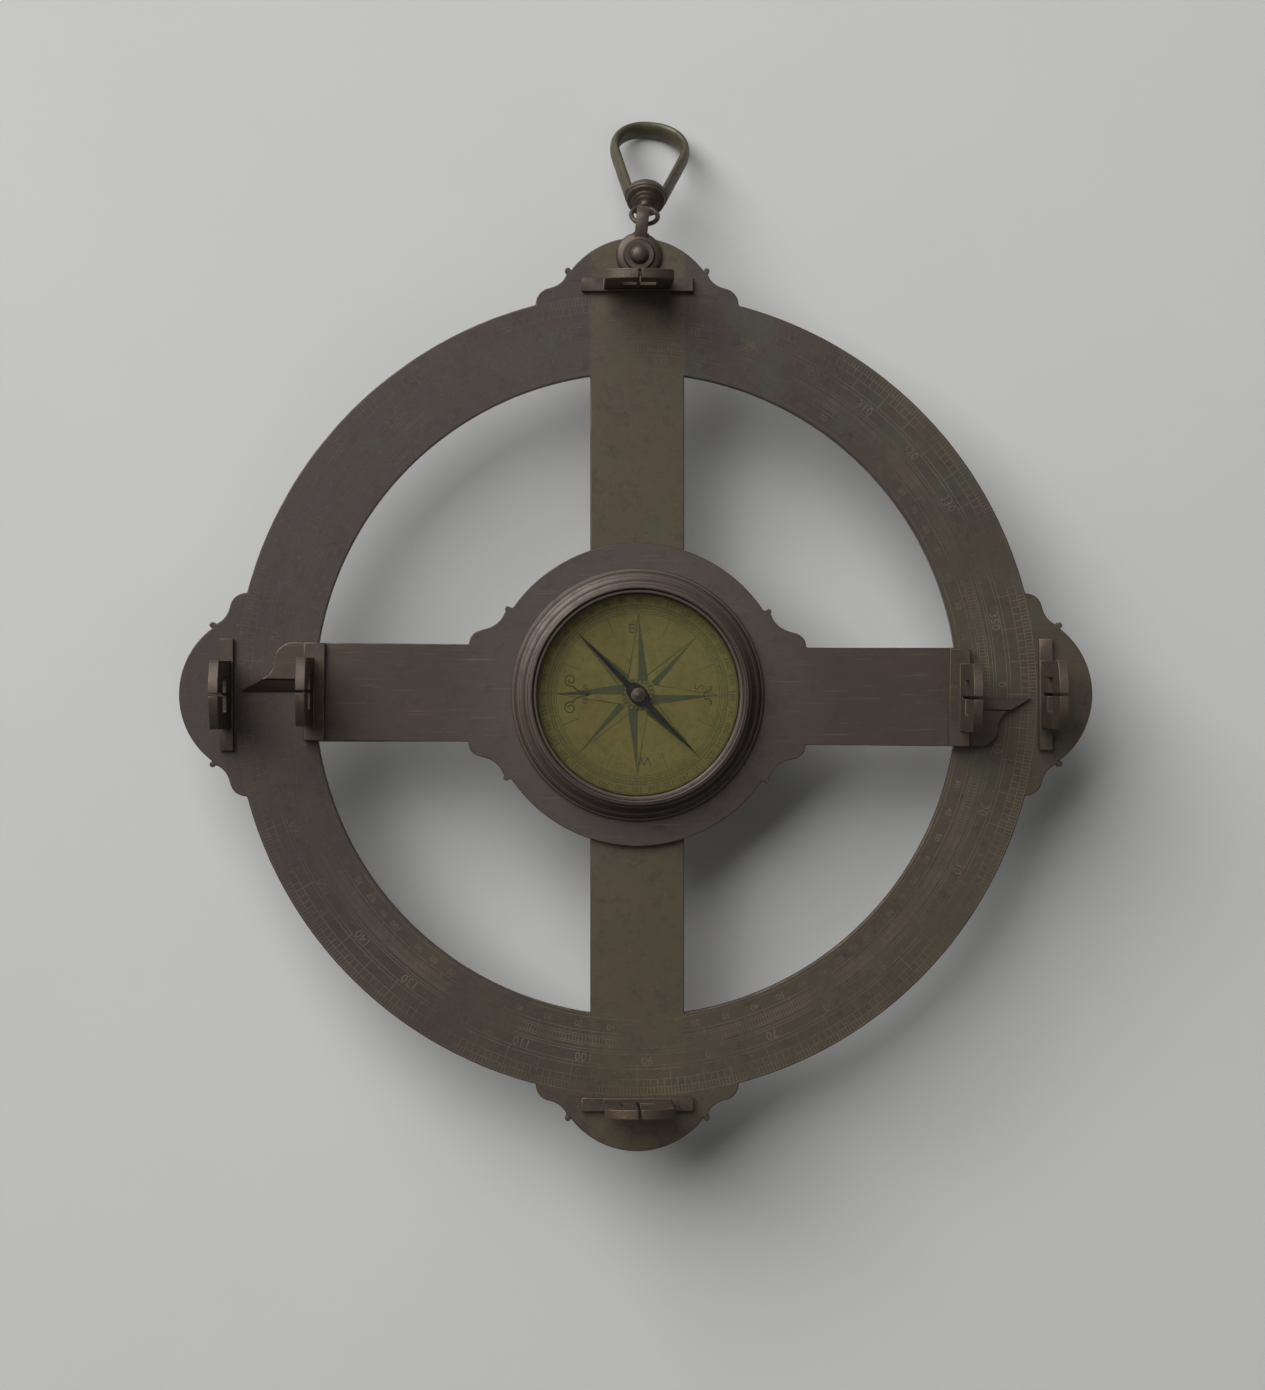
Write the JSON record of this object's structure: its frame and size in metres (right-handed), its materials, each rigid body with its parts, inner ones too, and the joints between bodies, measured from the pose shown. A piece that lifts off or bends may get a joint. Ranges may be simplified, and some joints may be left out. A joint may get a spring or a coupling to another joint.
{
  "type": "astrolabe",
  "caption": "Flat sighting circle with a graduated ring on spokes, fixed sights, a turning alidade with compass and sights, and a swivelling hand loop.",
  "frame": {"origin": "middle of the back boss's flat end, on the axis that the alidade turns about, in the plane the circle lies on", "axes": "+Z out of the graduated face, +Y from the middle towards the suspension and hand loop, +X to the right seen from the face"},
  "size_m": [0.3408, 0.3911, 0.0876],
  "materials": {
    "dark_brass": "dark brown patina over old brass, satin",
    "brown_brass": "worn brown brass, satin",
    "old_brass": "old brass, lightly worn on its edges",
    "verdigris_brass": "brass with a green-grey patina, matt",
    "dial_brass": "olive lacquered brass, engraved",
    "blued_steel": "dark blued steel",
    "window_glass": "clear flat glass"
  },
  "bodies": {
    "limb": {"limb_plate": "dark_brass", "sight_right": "brown_brass", "sight_upper": "brown_brass", "sight_left": "brown_brass", "sight_lower": "brown_brass", "hair_right": "blued_steel", "hair_upper": "blued_steel", "hair_left": "blued_steel", "hair_lower": "blued_steel", "sight_screw_1": "old_brass", "sight_screw_2": "old_brass", "sight_screw_3": "old_brass", "sight_screw_4": "old_brass", "sight_screw_5": "old_brass", "sight_screw_6": "old_brass", "sight_screw_7": "old_brass", "sight_screw_8": "old_brass", "back_boss": "old_brass", "boss_screw_1": "old_brass", "boss_screw_2": "old_brass", "boss_screw_3": "old_brass", "boss_screw_4": "old_brass", "suspension_rivet": "dark_brass"},
    "alidade": {"alidade_plate": "dark_brass", "alidade_sight_a": "brown_brass", "alidade_sight_b": "brown_brass", "alidade_hair_a": "blued_steel", "alidade_hair_b": "blued_steel", "alidade_screw_1": "old_brass", "alidade_screw_2": "old_brass", "alidade_screw_3": "old_brass", "alidade_screw_4": "old_brass", "compass_screw_1": "old_brass", "compass_screw_2": "old_brass", "compass_screw_3": "old_brass", "pivot_stud": "blued_steel", "pivot_washer": "old_brass", "pivot_nut": "old_brass", "compass_box": "old_brass", "compass_dial": "dial_brass", "needle_pin": "blued_steel", "compass_glass": "window_glass", "bezel_ring": "old_brass"},
    "needle": {"needle_blade": "blued_steel", "needle_cap": "old_brass"},
    "shackle_link": {"shackle": "dark_brass"},
    "swivel": {"swivel_eye": "dark_brass", "swivel_washer": "old_brass"},
    "loop": {"hand_loop": "verdigris_brass"}
  },
  "joints": [
    {"name": "alidade_turn", "type": "hinge", "parent": "limb", "child": "alidade", "pos_m": [0, 0, 0.0463], "axis": [0, 0, 1], "continuous": true},
    {"name": "needle_turn", "type": "hinge", "parent": "alidade", "child": "needle", "pos_m": [0, 0, 0.056], "axis": [0, 0, 1], "continuous": true},
    {"name": "shackle_swing", "type": "hinge", "parent": "limb", "child": "shackle_link", "pos_m": [0.0006, 0.1636, 0.04225], "axis": [0, 0, 1], "range_deg": [-44, 55]},
    {"name": "eye_tilt", "type": "hinge", "parent": "shackle_link", "child": "swivel", "pos_m": [0.00187, 0.17674, 0.04225], "axis": [0.9954, -0.0958, 0], "range_deg": [-41, 128]},
    {"name": "loop_swivel", "type": "hinge", "parent": "swivel", "child": "loop", "pos_m": [0.00281, 0.17928, 0.03978], "axis": [0.0696, 0.7232, -0.6871], "continuous": true}
  ]
}
